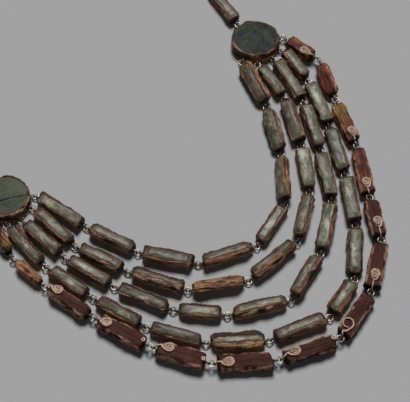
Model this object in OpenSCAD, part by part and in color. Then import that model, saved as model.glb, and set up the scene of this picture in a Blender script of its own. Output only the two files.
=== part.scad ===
// Festoon necklace of resin bars with mirror slips, laid flat as one whole loop.
// Millimetres, Z up from the surface it lies on.
// X runs from the left medallion to the right one, Y towards the nape.

/* [Bars] */
// Thickness of a bar from its flat back to its rim
bar_thickness = 4.6; // [3.5:0.1:6]
// Share of the width that the flat back takes
back_share = 0.76; // [0.5:0.02:0.9]
// Share of its full section that a bar keeps at its end faces
end_share = 0.86; // [0.6:0.02:1]
// Length of the rounded shoulder at each end
shoulder = 0.8; // [0.4:0.1:1.5]
// Least share of its width that a bar has along its middle
swell_least = 0.95; // [0.85:0.01:1]
// Greatest share of its width that a bar has along its middle
swell_most = 1.08; // [1:0.01:1.15]
// Width of the lip beside the glass, as a share of half the bar's width
lip_share = 0.1; // [0.05:0.01:0.2]
// Depth of the trough that the glass lies in
trough_depth = 1.2; // [0.8:0.1:2]

/* [Glass] */
// Clearance between a glass and its seat
glass_gap = 0.12; // [0.1:0.01:0.3]
// Height of the dome of a bar's glass above its rim
glass_dome = 0.45; // [0.1:0.05:1]
// Share of the glass's width that the flat top of its dome takes
dome_share = 0.5; // [0.2:0.05:0.8]

/* [Wire] */
// Radius of the ring and eye wire
wire_r = 0.3; // [0.2:0.02:0.4]
// Mean radius of a jump ring
ring_r = 1.45; // [1.3:0.05:2]
// Mean radius of an eye
eye_r = 0.95; // [0.8:0.05:1.2]
// Least distance from the centre of an eye to the end of its bar
eye_seat = 0.85; // [0.7:0.05:1.5]
// Depth that the stalk of an eye is set into the resin
stalk_depth = 1; // [0.5:0.1:2]
// Height of the eyes and rings above the surface, near the flat backs
wire_z = 1.35; // [1.3:0.05:3]
// Height of the eyes and rings of the outermost strand, near the backs that lie upwards
upper_wire_z = 3.3; // [1.3:0.05:3.5]
// Step from ring to ring between those two heights
wire_rise = 0.6; // [0.2:0.05:0.8]
// Largest sideways lean of a ring, in degrees
ring_lean = 18; // [0:1:25]

/* [Coils] */
// Outer radius of a coil
coil_r = 2.4; // [1.5:0.1:3]
// Thickness of a coil
coil_thickness = 0.7; // [0.5:0.05:1]
// Clearance between a coil and the back it lies on
coil_gap = 0.12; // [0.1:0.01:0.3]

/* [Medallions] */
// Radius of the left medallion
left_r = 10.8; // [9:0.1:14]
// Radius of the right medallion
right_r = 11.8; // [9:0.1:14]
// Height of a medallion's rim
medallion_h = 5.2; // [4:0.1:8]
// Width of a medallion's rim
rim_w = 1.6; // [1:0.1:3]
// Height of the dome of a medallion's glass
medallion_dome = 0.9; // [0.3:0.1:2]

/* [Clasp] */
// Distance between the two rings that the clasp joins
clasp_pitch = 24; // [16:1:30]
// Radius of the shank between the clasp's eye and its hook
shank_r = 0.7; // [0.5:0.05:1]
// Opening of the hook, in degrees
hook_opening = 70; // [40:5:90]

/* [Hidden] */
// Columns of a strand's table: distance between the rings of a bar, its direction,
// the length of its body, its width, its roll about its own axis and the share of glass.
PITCH = 0;
HEADING = 1;
BODY = 2;
WIDTH = 3;
ROLL = 4;
GLASS = 5;

// Bars of the innermost strand, from the left medallion
strand_1 = [
    [29.0, -71.8, 23.5, 6.0, 6, 0.70],
    [26.1, -66.4, 21.0, 6.2, -14, 0.68],
    [26.8, -50.1, 21.5, 6.5, -6, 0.70],
    [26.8, -19.2, 22.0, 5.8, -16, 0.66],
    [24.5, 19.9, 19.5, 5.8, 0, 0.60],
    [26.2, 52.8, 21.9, 6.2, -48, 0.62],
    [27.6, 64.7, 23.4, 7.0, -26, 0.62],
    [29.4, 74.4, 23.9, 7.2, -24, 0.62],
];
// Bars of the second strand
strand_2 = [
    [27.9, -82, 22.0, 5.8, -6, 0.66],
    [26.5, -65.4, 20.0, 5.9, -10, 0.66],
    [27.3, -56.7, 22.5, 6.2, -18, 0.46],
    [26.2, -27.8, 21.4, 6.0, -56, 0.50],
    [28.4, 2.4, 22.9, 5.8, -30, 0.56],
    [26.0, 37.1, 20.9, 6.0, -16, 0.66],
    [25.2, 57.9, 20.9, 6.4, 4, 0.74],
    [27.2, 65.6, 22.9, 6.4, -20, 0.58],
    [24.1, 82.6, 18.4, 5.8, 4, 0.66],
];
// Bars of the third strand
strand_3 = [
    [27.8, -80.4, 20.0, 5.7, 6, 0.68],
    [26.1, -69.6, 20.0, 5.8, -8, 0.64],
    [27.2, -60.9, 22.0, 6.0, 10, 0.58],
    [22.9, -43.9, 17.0, 6.2, 0, 0.66],
    [27.8, -23.9, 22.4, 6.2, -10, 0.60],
    [25.7, 19.8, 20.5, 5.6, -26, 0.62],
    [27.2, 37.9, 22.9, 6.3, -16, 0.66],
    [26.9, 60, 22.9, 6.4, 4, 0.72],
    [28.0, 64.3, 23.9, 6.2, 10, 0.64],
    [29.3, 78.8, 23.5, 6.2, 4, 0.62],
];
// Bars of the fourth strand
strand_4 = [
    [28.0, -85.1, 22.0, 5.6, 16, 0.62],
    [25.6, -72.7, 18.5, 5.6, 6, 0.66],
    [26.5, -67.3, 20.0, 5.6, 14, 0.60],
    [25.8, -54.3, 21.0, 5.6, 6, 0.64],
    [26.2, -34.9, 21.9, 7.4, -4, 0.40],
    [27.5, -16.5, 22.0, 5.8, -10, 0.64],
    [20.9, 18, 15.9, 6.8, -4, 0.46],
    [26.3, 46.8, 21.4, 7.0, 0, 0.56],
    [26.1, 58.1, 21.4, 7.0, -8, 0.60],
    [27.2, 63.2, 22.4, 6.4, -10, 0.66],
    [27.7, 69.4, 22.9, 6.2, 0, 0.70],
    [22.6, 83.9, 17.4, 6.0, 10, 0.66],
];
// Bars of the outermost strand, most of which lie on their glass
strand_5 = [
    [21.6, -95, 14.5, 5.0, 62, 0.60],
    [20.1, -79.3, 14.5, 5.2, 104, 0.60],
    [25.5, -72.2, 20.5, 6.6, 174, 0.60],
    [27.3, -66.1, 21.5, 7.0, 176, 0.60],
    [26.4, -54.3, 20.0, 7.0, 178, 0.60],
    [27.4, -34.9, 22.0, 7.0, 180, 0.60],
    [27.3, -17.8, 22.0, 6.4, 184, 0.60],
    [25.3, 17.4, 20.9, 6.6, 182, 0.60],
    [25.7, 37.2, 21.4, 7.2, 180, 0.60],
    [21.6, 60.4, 17.4, 6.6, 182, 0.60],
    [27.8, 59.4, 23.0, 6.6, 176, 0.60],
    [27.3, 69.2, 21.0, 6.8, 172, 0.60],
    [24.8, 66.9, 18.0, 6.6, 150, 0.60],
    [22.3, 100.9, 14.5, 6.8, 176, 0.60],
];
// Centre of each coil of the outermost strand: distance from the start of its bar, 0 for none,
// and distance from the bar's middle line towards the neck
coil_at = [
    [0, 0], [0, 0], [4, 1.2], [4, 0.4], [5, 1.4], [4.5, 0], [5, 1.2],
    [4.5, 0.8], [6, 0], [6.5, 0], [5, 0.2], [4.5, -0.4], [0, 0], [4.5, 1.4],
];
// Bars of the neck strand that leave the right medallion
neck_right = [
    [28, 84, 22.5, 6.4, 0, 0.66],
    [26, 103, 20.5, 6.2, -6, 0.62],
    [26, 120, 20.5, 6.2, 5, 0.66],
    [26, 143, 20.5, 6.0, 0, 0.64],
    [26, 168, 20.5, 6.0, -4, 0.62],
];
// Bars of the neck strand that arrive at the left medallion
neck_left = [
    [26, 192, 20.5, 6.0, 4, 0.64],
    [26, 217, 20.5, 6.0, -5, 0.66],
    [26, 240, 20.5, 6.2, 6, 0.62],
    [26, 257, 20.5, 6.2, -4, 0.64],
    [28, 276, 22.5, 6.2, 0, 0.66],
];
// Angles around the medallions at which the strands and the neck strand leave
left_angles = [-29, -57, -91, -121, -153];
right_angles = [-157, -124, -88, -59, -28];
left_neck_angle = 89;
right_neck_angle = 88;
// Centres of the medallions before the layout is centred
left_at = [-70.7, 54.2];
right_at = [74.4, 55.0];
// Middle of the bounding box of that layout
layout_middle = [3.6, 39.2];

// Side of a bar from the edge of its back to its rim: share of half the width, share of the thickness
BAR_SIDE = [[0.95, 0.18], [1, 0.5], [0.92, 0.8]];
// Outside of a medallion from its foot upwards: share of the radius, share of the height
CUP_SIDE = [[0, 0], [0.93, 0], [1, 0.3], [1, 0.7], [0.95, 1]];
// Dome of a medallion's glass from its edge to its middle: share of the radius, share of the dome
DOME = [[1, 0], [0.8, 0.6], [0.4, 1], [0, 1]];
// Upper side of a coil from its edge to its middle: share of the radius, share of the thickness
COIL_TOP = [[1, 1], [0.72, 1], [0.64, 0.5], [0.5, 0.5], [0.42, 1], [0.2, 1], [0, 0.6]];

CUP_FN = 64;
TORUS_FN = 40;

function left_centre() = left_at - layout_middle;
function right_centre() = right_at - layout_middle;
function along(angle) = [cos(angle), sin(angle)];

// A strand is walked bar by bar, then its small closing error is spread over its rings.
function step(row) = row[PITCH] * along(row[HEADING]);
function walk(rows, n) = n == 0 ? [0, 0] : walk(rows, n - 1) + step(rows[n - 1]);
function ring_at(rows, a, b, n) = a + walk(rows, n) + (b - a - walk(rows, len(rows))) * n / len(rows);

// Distance from a medallion's centre to the ring on its rim
function reach(radius) = radius + eye_seat + ring_r;
function left_ring(angle) = left_centre() + reach(left_r) * along(angle);
function right_ring(angle) = right_centre() + reach(right_r) * along(angle);

// Height of the wire at the ring n of strand i: the outermost strand's wire climbs to its upturned backs
last_5 = len(strand_5);
function ring_z(i, n) = i < 4 ? wire_z
    : min(upper_wire_z, wire_z + wire_rise * n, wire_z + wire_rise * 1.5 * (last_5 - n + 1));

strands = [strand_1, strand_2, strand_3, strand_4, strand_5];
clasp_start = [nape_x() + clasp_pitch / 2, nape_y()];
clasp_end = clasp_start - [clasp_pitch, 0];
function nape_x() = (left_ring(left_neck_angle)[0] + right_ring(right_neck_angle)[0]) / 2;
function nape_y() = right_ring(right_neck_angle)[1] + walk(neck_right, len(neck_right))[1];

// Half of a bar's cross-section as [across, up] points, from its back to its trough of the depth given
function half_section(width, glass, depth) = let (h = width / 2) concat(
    [[h * back_share, 0]],
    [for (p = BAR_SIDE) [h * p[0], bar_thickness * p[1]]],
    [[h * (glass + lip_share), bar_thickness], [h * glass, bar_thickness - depth]]
);
function mirrored(points) = [for (i = [len(points) - 1:-1:0]) [-points[i][0], points[i][1]]];
function section(width, glass, depth) = let (half = half_section(width, glass, depth))
    concat(half, mirrored(half));

// Irregular swelling of a bar at each third of its length, as shares of its width
function swell(row) = rands(swell_least, swell_most, 2, row[BODY] * 10 + row[HEADING]);
function swollen(row, share, depth) = section(row[WIDTH] * share, row[GLASS] / share, depth);

// Cross-section of a slip of glass
function half_slip(width, glass) = let (g = width / 2 * glass - glass_gap) [
    [g, bar_thickness - trough_depth + glass_gap],
    [g, bar_thickness - glass_gap],
    [g * dome_share, bar_thickness + glass_dome],
];
function slip(width, glass) = let (half = half_slip(width, glass)) concat(half, mirrored(half));
function placed(points, x, share, middle) =
    [for (p = points) [x, p[0] * share, middle + (p[1] - middle) * share]];

// Skin through rings of points of one size
module skin(rings) {
    n = len(rings[0]);
    last = len(rings) - 1;
    sides = [for (i = [0:last - 1], j = [0:n - 1]) let (a = i * n + j, b = i * n + (j + 1) % n)
        each [[a, a + n, b], [b, a + n, b + n]]];
    caps = [[for (j = [0:n - 1]) j], [for (j = [n - 1:-1:0]) last * n + j]];
    polyhedron(points = [for (r = rings) each r], faces = concat(sides, caps));
}

// How far a point of a cross-section hangs below the bar's middle when the bar is rolled
function hang(p, roll) = -p[0] * sin(roll) - (p[1] - bar_thickness / 2) * cos(roll);
// Height of a bar's middle when its lowest point rests on the surface
function lift(row) = let (widest = max(concat([1], swell(row))))
    max([for (p = concat(swollen(row, widest, 0), slip(row[WIDTH], row[GLASS]))) hang(p, row[ROLL])]);

function half_body(row, span) = min(row[BODY] / 2, span / 2 - ring_r - eye_seat);

// Moves the children to a bar's own frame between two rings, rolled and resting
module on_bar(row, p, q) {
    middle = (p + q) / 2;
    translate([middle[0], middle[1], lift(row)])
        rotate([0, 0, atan2(q[1] - p[1], q[0] - p[0])])
            rotate([row[ROLL], 0, 0])
                translate([0, 0, -bar_thickness / 2])
                    children();
}

module bar_body(row, half) {
    full = swollen(row, 1, 0);
    cut = swollen(row, 1, trough_depth);
    share = swell(row);
    middle = bar_thickness / 2;
    skin([
        placed(full, -half, end_share, middle),
        placed(full, -half + shoulder, 1, middle),
        placed(cut, -half + shoulder * 1.5, 1, middle),
        placed(swollen(row, share[0], trough_depth), -half / 3, 1, middle),
        placed(swollen(row, share[1], trough_depth), half / 3, 1, middle),
        placed(cut, half - shoulder * 1.5, 1, middle),
        placed(full, half - shoulder, 1, middle),
        placed(full, half, end_share, middle),
    ]);
}

module glass_body(row, half) {
    outline = slip(row[WIDTH], row[GLASS]);
    floor_z = bar_thickness - trough_depth + glass_gap;
    end = half - shoulder * 1.5 - glass_gap;
    skin([
        placed(outline, -end, 1, floor_z),
        placed(outline, end, 1, floor_z),
    ]);
}

module torus(mean, wire) {
    rotate_extrude($fn = TORUS_FN)
        translate([mean, 0])
            circle(r = wire, $fn = TORUS_FN);
}

// Upright eye whose stalk runs back along -X by the length given
module eye(stalk) {
    rotate([90, 0, 0])
        torus(eye_r, wire_r);
    translate([-eye_r - stalk, 0, 0])
        rotate([0, 90, 0])
            cylinder(r = wire_r, h = stalk, $fn = TORUS_FN);
}

// Bar between the rings p and q, whose wires stand at the heights z
module one_bar(row, p, q, z) {
    span = norm(q - p);
    half = half_body(row, span);
    stalk = span / 2 - ring_r - eye_r - half + stalk_depth;
    middle = (p + q) / 2;
    on_bar(row, p, q)
        bar_body(row, half);
    translate([middle[0], middle[1], 0])
        rotate([0, 0, atan2(q[1] - p[1], q[0] - p[0])]) {
            translate([ring_r - span / 2, 0, z[0]])
                rotate([0, 0, 180])
                    eye(stalk);
            translate([span / 2 - ring_r, 0, z[1]])
                eye(stalk);
        }
}

module bars(rows, a, b, i) {
    for (n = [0:len(rows) - 1])
        one_bar(
            rows[n], ring_at(rows, a, b, n), ring_at(rows, a, b, n + 1), [ring_z(i, n), ring_z(i, n + 1)]
        );
}

module glasses(rows, a, b) {
    for (n = [0:len(rows) - 1]) {
        p = ring_at(rows, a, b, n);
        q = ring_at(rows, a, b, n + 1);
        on_bar(rows[n], p, q)
            glass_body(rows[n], half_body(rows[n], norm(q - p)));
    }
}

// Ring at a point, leaning sideways about the direction given
module ring(at, z, angle, lean) {
    translate([at[0], at[1], z])
        rotate([0, 0, angle])
            rotate([lean, 0, 0])
                torus(ring_r, wire_r);
}

// The rings of a strand: those on the two medallions lie level, the others lean about the strand
module rings(rows, a, b, i) {
    last = len(rows);
    leans = rands(-ring_lean, ring_lean, last + 1, i + 1);
    for (n = [0:last]) {
        ends = n == 0 || n == last;
        angle = ends ? 0 : (rows[n - 1][HEADING] + rows[n][HEADING]) / 2;
        ring(ring_at(rows, a, b, n), ring_z(i, n), angle, ends ? 0 : leans[n]);
    }
}

// Flat coil whose straight end runs back along -X
module coil() {
    rotate_extrude($fn = CUP_FN)
        polygon(concat([[0, 0], [coil_r, 0]], [for (p = COIL_TOP) [coil_r * p[0], coil_thickness * p[1]]]));
    translate([-coil_r - stalk_depth, 0, wire_r])
        rotate([0, 90, 0])
            cylinder(r = wire_r, h = stalk_depth * 1.5, $fn = TORUS_FN);
}

module coils(rows, a, b) {
    for (n = [0:len(rows) - 1])
        if (coil_at[n][0] > 0) {
            p = ring_at(rows, a, b, n);
            q = ring_at(rows, a, b, n + 1);
            on_bar(rows[n], p, q)
                translate([coil_at[n][0] - half_body(rows[n], norm(q - p)), -coil_at[n][1], -coil_gap])
                    mirror([0, 0, 1])
                        coil();
        }
}

// Resin cup with an upright eye at each angle, at the height that its strand starts from
module setting(centre, radius, angles, heights) {
    seat = medallion_h - trough_depth;
    translate([centre[0], centre[1], 0]) {
        rotate_extrude($fn = CUP_FN)
            polygon(concat(
                [for (p = CUP_SIDE) [radius * p[0], medallion_h * p[1]]],
                [[radius - rim_w, medallion_h], [radius - rim_w, seat], [0, seat]]
            ));
        for (i = [0:len(angles) - 1])
            rotate([0, 0, angles[i]])
                translate([radius + eye_seat, 0, heights[i]])
                    eye(stalk_depth);
    }
}

module disc(centre, radius) {
    r = radius - rim_w - glass_gap;
    bottom = medallion_h - trough_depth + glass_gap;
    top = medallion_h - glass_gap;
    translate([centre[0], centre[1], 0])
        rotate_extrude($fn = CUP_FN)
            polygon(concat(
                [[0, bottom], [r, bottom]],
                [for (p = DOME) [r * p[0], top + medallion_dome * p[1]]]
            ));
}

module strand_bars(i) {
    bars(strands[i], left_ring(left_angles[i]), right_ring(right_angles[i]), i);
}

module strand_glass(i) {
    glasses(strands[i], left_ring(left_angles[i]), right_ring(right_angles[i]));
}

module strand_rings(i) {
    rings(strands[i], left_ring(left_angles[i]), right_ring(right_angles[i]), i);
}

module strand_1_bars() color("sienna") strand_bars(0);
module strand_2_bars() color("sienna") strand_bars(1);
module strand_3_bars() color("sienna") strand_bars(2);
module strand_4_bars() color("sienna") strand_bars(3);
module strand_5_bars() color("maroon") strand_bars(4);
module strand_1_glass() color("darkseagreen") strand_glass(0);
module strand_2_glass() color("darkseagreen") strand_glass(1);
module strand_3_glass() color("darkseagreen") strand_glass(2);
module strand_4_glass() color("darkseagreen") strand_glass(3);
module strand_5_glass() color("darkseagreen") strand_glass(4);
module strand_1_rings() color("silver") strand_rings(0);
module strand_2_rings() color("silver") strand_rings(1);
module strand_3_rings() color("silver") strand_rings(2);
module strand_4_rings() color("silver") strand_rings(3);
module strand_5_rings() color("silver") strand_rings(4);
module strand_5_coils() color("tan") coils(strand_5, left_ring(left_angles[4]), right_ring(right_angles[4]));

module medallion_left_setting() color("sienna") {
    heights = [for (i = [0:4]) ring_z(i, 0)];
    setting(left_centre(), left_r, concat(left_angles, [left_neck_angle]), concat(heights, [wire_z]));
}

module medallion_right_setting() color("sienna") {
    heights = [for (i = [0:4]) ring_z(i, len(strands[i]))];
    setting(right_centre(), right_r, concat(right_angles, [right_neck_angle]), concat(heights, [wire_z]));
}

module medallion_left_glass() color("darkslategray") disc(left_centre(), left_r);
module medallion_right_glass() color("darkslategray") disc(right_centre(), right_r);

module neck_bars() color("sienna") {
    bars(neck_right, right_ring(right_neck_angle), clasp_start, 0);
    bars(neck_left, clasp_end, left_ring(left_neck_angle), 0);
}

module neck_glass() color("darkseagreen") {
    glasses(neck_right, right_ring(right_neck_angle), clasp_start);
    glasses(neck_left, clasp_end, left_ring(left_neck_angle));
}

module neck_rings() color("silver") {
    rings(neck_right, right_ring(right_neck_angle), clasp_start, 0);
    rings(neck_left, clasp_end, left_ring(left_neck_angle), 0);
}

// Straight shank with an upright eye for one ring and an upright open hook for the other
module clasp() color("silver") {
    eye_x = clasp_start[0] - ring_r;
    hook_x = clasp_end[0] + ring_r;
    y = clasp_start[1];
    translate([eye_x, y, wire_z])
        rotate([90, 0, 0])
            torus(eye_r, wire_r);
    translate([hook_x, y, wire_z])
        rotate([90, -hook_opening, 0])
            rotate_extrude(angle = 360 - hook_opening, $fn = TORUS_FN)
                translate([eye_r, 0])
                    circle(r = wire_r, $fn = TORUS_FN);
    translate([hook_x + eye_r, y, wire_z])
        rotate([0, 90, 0])
            cylinder(r = shank_r, h = eye_x - hook_x - 2 * eye_r, $fn = TORUS_FN);
}

medallion_left_setting();
medallion_left_glass();
medallion_right_setting();
medallion_right_glass();
strand_1_bars();
strand_2_bars();
strand_3_bars();
strand_4_bars();
strand_5_bars();
strand_1_glass();
strand_2_glass();
strand_3_glass();
strand_4_glass();
strand_5_glass();
strand_1_rings();
strand_2_rings();
strand_3_rings();
strand_4_rings();
strand_5_rings();
strand_5_coils();
neck_bars();
neck_glass();
neck_rings();
clasp();
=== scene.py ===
"""Festoon necklace of resin bars with mirror slips: the looks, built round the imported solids."""

import math

import bpy
import numpy as np
from mathutils import Matrix, Vector

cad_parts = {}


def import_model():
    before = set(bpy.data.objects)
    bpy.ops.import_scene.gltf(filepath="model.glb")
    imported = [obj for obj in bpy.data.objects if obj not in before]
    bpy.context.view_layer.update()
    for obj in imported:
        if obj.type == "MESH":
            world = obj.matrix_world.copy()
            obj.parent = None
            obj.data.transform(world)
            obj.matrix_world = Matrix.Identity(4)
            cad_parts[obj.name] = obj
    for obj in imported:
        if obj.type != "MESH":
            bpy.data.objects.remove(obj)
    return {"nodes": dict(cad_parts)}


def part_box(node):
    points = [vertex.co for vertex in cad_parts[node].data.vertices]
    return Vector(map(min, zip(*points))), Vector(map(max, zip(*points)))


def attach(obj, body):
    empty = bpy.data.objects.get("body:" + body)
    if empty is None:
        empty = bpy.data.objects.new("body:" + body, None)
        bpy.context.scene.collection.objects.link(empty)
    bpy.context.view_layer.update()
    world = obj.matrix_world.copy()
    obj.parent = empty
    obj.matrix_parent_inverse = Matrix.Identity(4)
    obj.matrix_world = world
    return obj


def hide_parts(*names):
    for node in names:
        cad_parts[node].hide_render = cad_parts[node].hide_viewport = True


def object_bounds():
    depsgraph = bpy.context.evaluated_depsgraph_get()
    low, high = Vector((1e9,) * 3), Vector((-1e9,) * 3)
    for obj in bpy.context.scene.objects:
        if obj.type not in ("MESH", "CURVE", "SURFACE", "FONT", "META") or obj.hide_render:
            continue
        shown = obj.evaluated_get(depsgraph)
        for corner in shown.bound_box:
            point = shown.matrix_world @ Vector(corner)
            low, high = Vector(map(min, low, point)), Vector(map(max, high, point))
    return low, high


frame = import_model()
cad_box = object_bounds()

# Sizes are in millimetres up to make_piece, which turns them into metres.
MM = 0.001

# Sizes of the solids: bars, wire and medallions
THICKNESS = 4.6
TROUGH = 1.2
GLASS_GAP = 0.12
SHOULDER = 0.8
GLASS_SETBACK = SHOULDER * 1.5
END_SHARE = 0.86
RING_RADIUS = 1.45
EYE_RADIUS = 0.95
WIRE_RADIUS = 0.3
RIM_WIDTH = 1.6
MEDALLION_HEIGHT = 5.2
MEDALLION_DOME = 0.9

# Least height of anything above the surface, and the most that it stands above the solids
REST = 0.03
TOP_MARGIN = 0.14

# Point between the medallions, which the strands and the neck strand go round
MEDALLION_LINE = (0, 15)

# Directions of the photograph in the necklace's frame: towards its right side and its top
PHOTO_TURN = math.radians(38)
RIGHT = np.array([math.cos(PHOTO_TURN), -math.sin(PHOTO_TURN), 0])
AWAY = np.array([math.sin(PHOTO_TURN), math.cos(PHOTO_TURN), 0])
UP = np.array([0.0, 0.0, 1.0])

STRANDS = [f"strand_{i}" for i in range(1, 6)]

# Looks of the bars from the left medallion: rust in the resin, light in the glass, which is partly its own
# tone and partly painted reflection, place of its brightest patch, a painted highlight, from -1 to 1 along
# the bar, its warmth from -1 to 1, ochre in the resin towards the bar's far end, or its near end if
# negative, and how many millimetres of glass the resin covers from the side away from the neck and from the
# side towards it. Where both are above CLOSED, the resin closes over the glass.
CLOSED = 2
RUST, LIGHT, SPOT, WARMTH, OCHRE, OUTER, INNER = range(7)
LOOKS = {
    "strand_1": [
        (0.9, 0.75, -0.5, 0.25, -0.4, 0, 0.2),
        (0.4, 0.4, 0.3, 0.2, 0.2, 0.55, 0.1),
        (0.8, -0.1, -0.2, 0.15, 0.1, 0.1, 0.1),
        (1.4, 0.3, 0, -0.3, 1, 0.3, 0.2),
        (0.5, 0.75, -0.1, 0.1, 0, 0.3, 0.3),
        (0.9, 0.4, 0, 0, 0, 1, 0.2),
        (0.6, 0.3, 0.2, -0.1, 0, 0.6, 0),
        (1.3, 0.2, -0.2, 0.45, 0.2, 1, -0.1),
    ],
    "strand_2": [
        (0.5, 0.35, 0, 0, 0, 0.2, 0.2),
        (0.4, 0.45, -0.2, 0.1, 0, 0.4, 0.1),
        (0.4, 0.3, 0, 0.3, 0, 0.55, 0.45),
        (0.9, 0.2, 0, 0.4, -0.5, 1.5, 1.3),
        (0.9, 0.45, -0.3, 0, 0, 0.6, 0.1),
        (0.4, 0.3, 0, 0.1, 0, 0.5, 0),
        (0.4, 0.8, 0.6, 0, 0, 0.1, 0.1),
        (0.5, 0.35, 0.2, 0, 0.2, 0.7, 0),
        (0.4, 0.4, 0, 0, 0, 0.1, 0.2),
    ],
    "strand_3": [
        (0.5, 0.6, -0.1, 0.2, 0.2, 0, 0.2),
        (0.8, 0.5, -0.3, -0.1, 0.4, 0.2, 0),
        (0.4, 0.65, 0.1, 0.1, 0, 0.1, 0.4),
        (0.4, 0.8, 0.2, 0.6, 0.5, 0.3, 0.2),
        (0.5, 0.45, 0.3, 0.6, -0.8, 0.2, 0.1),
        (0.7, 0.5, 0.1, 0, 0.3, 0.7, 0),
        (0.6, 0.7, 0.1, 0, 0.3, 0.3, 0),
        (0.4, 0.45, 0, 0, 0, 0.1, 0),
        (0.4, 0.55, 0.5, 0.2, 0, 0, 0.4),
        (0.6, 0.4, 0, 0.5, 0.6, 0, 0.4),
    ],
    "strand_4": [
        (0.5, 0.55, 0.1, 0, 0, 0, 0.4),
        (0.5, 0.65, 0.2, 0.1, 0, 0.1, 0.2),
        (0.5, 0.65, 0.3, 0.1, 0.3, 0.1, 0.5),
        (0.4, 0.35, 0.1, 0, 0, 0.15, 0),
        (0.8, 0.6, 0, 0.4, 0.5, 0, 0.2),
        (0.6, 0.5, -0.1, 0, 0.1, 0.3, 0),
        (0.7, 0.6, 0, 0.1, 0.4, 0, -0.1),
        (0.5, 0.65, -0.2, 0, 0, 0.2, 0.1),
        (0.8, 0.5, 0.2, 0.1, 0.2, 0.3, 0),
        (0.5, 0.45, 0, -0.4, 0, 0.4, 0),
        (0.4, 0.6, 0.2, 0.2, 0, 0, 0),
        (0.5, 0.45, 0, 0.1, 0, 0, 0.5),
    ],
    "strand_5": [
        (0.7, 0.4, 0, 0, 1, 0.3, 0.3),
        (1.3, 0.3, 0, 0, 0.6, 2.4, 2.4),
        *[(rust, 0.3, 0, 0, ochre, 0.1, 0.1) for rust, ochre in (
            (0.35, 0.2), (0.3, 0), (0.1, 0), (0, 0), (0.3, 0), (0.1, 0.2), (0.5, 0), (0.35, 0),
            (0.8, 0), (1.4, 1), (1.15, 0), (0.95, 0))],
    ],
    "neck": [(1, 0.3, 0.4, 0.1, 0.3, 0.5, 1.1)] + [(0.5, 0.4, 0, 0, 0, 0.2, 0.2)] * 9,
}

# Bars whose start or end narrows and rounds off more than the others: index, start, end, from 0 to 1
TAPERS = {
    "strand_1": {1: (0.3, 0.45), 3: (0.15, 0.7), 4: (0.3, 0), 5: (0.2, 0.4), 6: (0.4, 0.75), 7: (0.4, 0.5)},
    "strand_2": {0: (0.4, 0.1), 2: (0.35, 0.2), 3: (0.6, 0.7), 4: (0.4, 0.1), 5: (0.4, 0.2), 6: (0.4, 0.1),
                 8: (0.2, 0.4)},
    "strand_3": {2: (0.1, 0.3), 3: (0.3, 0.3), 4: (0.4, 0.4), 5: (0.1, 0.3), 6: (0.4, 0.1), 8: (0.3, 0.3)},
    "strand_4": {0: (0.3, 0.2), 4: (0.5, 0.5), 5: (0.1, 0.2), 7: (0.4, 0.1), 9: (0.3, 0.2), 11: (0.2, 0.1)},
    "strand_5": {0: (0.4, 0.5), 1: (0.6, 0.6), 2: (0.6, 0.4), 3: (0.4, 0.1), 11: (0.2, 0.4), 12: (0.5, 0.5)},
    "neck": {},
}


# Reading the solids

def solids(node):
    """Points of each separate solid of a CAD node, in millimetres."""
    mesh = frame["nodes"][node].data
    points = np.zeros(len(mesh.vertices) * 3)
    mesh.vertices.foreach_get("co", points)
    edges = np.zeros(len(mesh.edges) * 2, int)
    mesh.edges.foreach_get("vertices", edges)
    points, same = np.unique(np.round(points.reshape(-1, 3) / MM, 3), axis=0, return_inverse=True)
    start, end = same.ravel()[edges.reshape(-1, 2)].T
    # Points joined by an edge take the lowest label of the two until nothing changes
    label = np.arange(len(points))
    while True:
        low = np.minimum(label[start], label[end])
        lower = label.copy()
        np.minimum.at(lower, start, low)
        np.minimum.at(lower, end, low)
        lower = lower[lower]
        if (lower == label).all():
            break
        label = lower
    return [points[label == i] for i in np.unique(label)]


def middle(points):
    return (points.min(0) + points.max(0)) / 2


def in_order(parts, turn):
    """Solids sorted by their angle about the neck, counterclockwise from the angle turn."""
    def angle(points):
        x, y = middle(points)[:2] - MEDALLION_LINE
        return (math.atan2(y, x) - turn) % (2 * math.pi)
    return sorted(parts, key=angle)


def unit(v):
    return v / np.linalg.norm(v)


# Reach within which a point counts as on an end or a face
NEAR = 0.05


class Bar:
    """Frame and sizes of one bar, from its glass, its body and the rings at its ends.

    shaded is 1 where the bar's side towards the neck faces the photograph's top, and 0 where the bar runs
    towards the top. It sets the painted shade and light of its resin and glass, and some of its rust and
    ochre.
    """

    def __init__(self, glass, body, p, q, index):
        self.index = index
        self.p, self.q = p, q
        self.along = unit((q - p) * (1, 1, 0))
        centre = middle(glass)
        s = (glass - centre) @ self.along
        end = glass[s > s.max() - NEAR]
        spread = end - end.mean(0)
        spread -= np.outer(spread @ self.along, self.along)
        self.across = unit(np.linalg.svd(spread)[2][0])
        self.up = unit(np.cross(self.along, self.across))
        height = (glass - glass.mean(0)) @ self.up
        width = np.abs((glass - glass.mean(0)) @ self.across)
        if width[height > height.max() - NEAR].max() > width[height < height.min() + NEAR].max():
            self.up = -self.up
        self.across = np.cross(self.up, self.along)
        self.axes = np.array([self.along, self.across, self.up])
        self.glass_half = width.max() + GLASS_GAP
        self.half = (s.max() - s.min()) / 2 + GLASS_SETBACK + GLASS_GAP
        low = ((glass - centre) @ self.up).min()
        self.origin = centre + self.up * (low - (THICKNESS - TROUGH + GLASS_GAP))
        local = self.local(body)
        self.stations = np.array([
            -self.half + SHOULDER, -self.half / 3, self.half / 3, self.half - SHOULDER])
        at = [local[np.abs(local[:, 0] - x) < NEAR] for x in self.stations]
        self.half_widths = np.array([np.abs(points[:, 1]).max() for points in at])
        self.shaded = max(self.across @ AWAY, 0)

    def local(self, points):
        return (points - self.origin) @ self.axes.T

    def world(self, points):
        return self.origin + points @ self.axes

    def half_width(self, s):
        return np.interp(s, self.stations, self.half_widths)


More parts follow.
